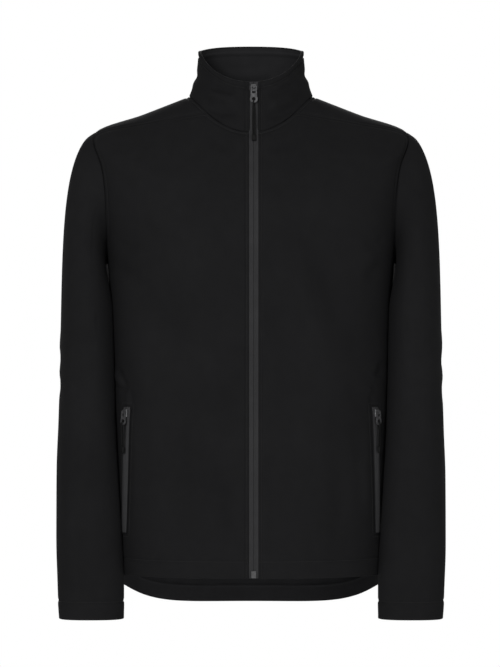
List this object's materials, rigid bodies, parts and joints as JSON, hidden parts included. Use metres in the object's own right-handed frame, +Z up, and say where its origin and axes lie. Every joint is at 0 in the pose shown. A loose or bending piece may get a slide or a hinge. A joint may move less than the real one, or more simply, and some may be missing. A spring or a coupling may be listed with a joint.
{
  "type": "softshell jacket",
  "caption": "Plain black softshell jacket with a stand collar, a full front zip, zipped side pockets and cord zip pullers, hollow as if worn.",
  "frame": {"origin": "middle of the neck opening at the height of the neck seam beside the neck, where the jacket hangs on the wearer's shoulders", "axes": "+Z up along the back, -Y towards the front zip, +X towards the wearer's left sleeve"},
  "size_m": [0.5394, 0.254, 0.8006],
  "materials": {
    "softshell_black": "matt",
    "zip_tape_grey": "matt",
    "gunmetal": "satin",
    "cord_black": "matt"
  },
  "bodies": {
    "jacket": {"front_right": "softshell_black", "front_left": "softshell_black", "back": "softshell_black", "sleeve_right": "softshell_black", "sleeve_left": "softshell_black", "collar": "softshell_black", "zip_tape_right": "zip_tape_grey", "zip_tape_left": "zip_tape_grey", "zip_box": "gunmetal", "main_slider": "gunmetal", "pocket_zip_right": "zip_tape_grey", "pocket_zip_left": "zip_tape_grey", "pocket_right_slider": "gunmetal", "pocket_left_slider": "gunmetal"},
    "main_puller": {"main_pull": "gunmetal", "main_cord": "cord_black", "main_cord_end": "cord_black"},
    "pocket_right_puller": {"pocket_right_pull": "gunmetal", "pocket_right_cord": "cord_black", "pocket_right_cord_end": "cord_black"},
    "pocket_left_puller": {"pocket_left_pull": "gunmetal", "pocket_left_cord": "cord_black", "pocket_left_cord_end": "cord_black"}
  },
  "joints": [
    {"name": "main_pull_hinge", "type": "hinge", "parent": "jacket", "child": "main_puller", "pos_m": [0.00381, -0.07972, 0.00924], "axis": [-0.9997, -0.0226, 0.0024], "range_deg": [0, 140]},
    {"name": "pocket_right_pull_hinge", "type": "hinge", "parent": "jacket", "child": "pocket_right_puller", "pos_m": [-0.17593, -0.06887, -0.43924], "axis": [-0.6658, 0.7418, 0.0802], "range_deg": [0, 140]},
    {"name": "pocket_left_pull_hinge", "type": "hinge", "parent": "jacket", "child": "pocket_left_puller", "pos_m": [0.17593, -0.06887, -0.43924], "axis": [-0.6658, -0.7418, -0.0802], "range_deg": [0, 140]}
  ]
}
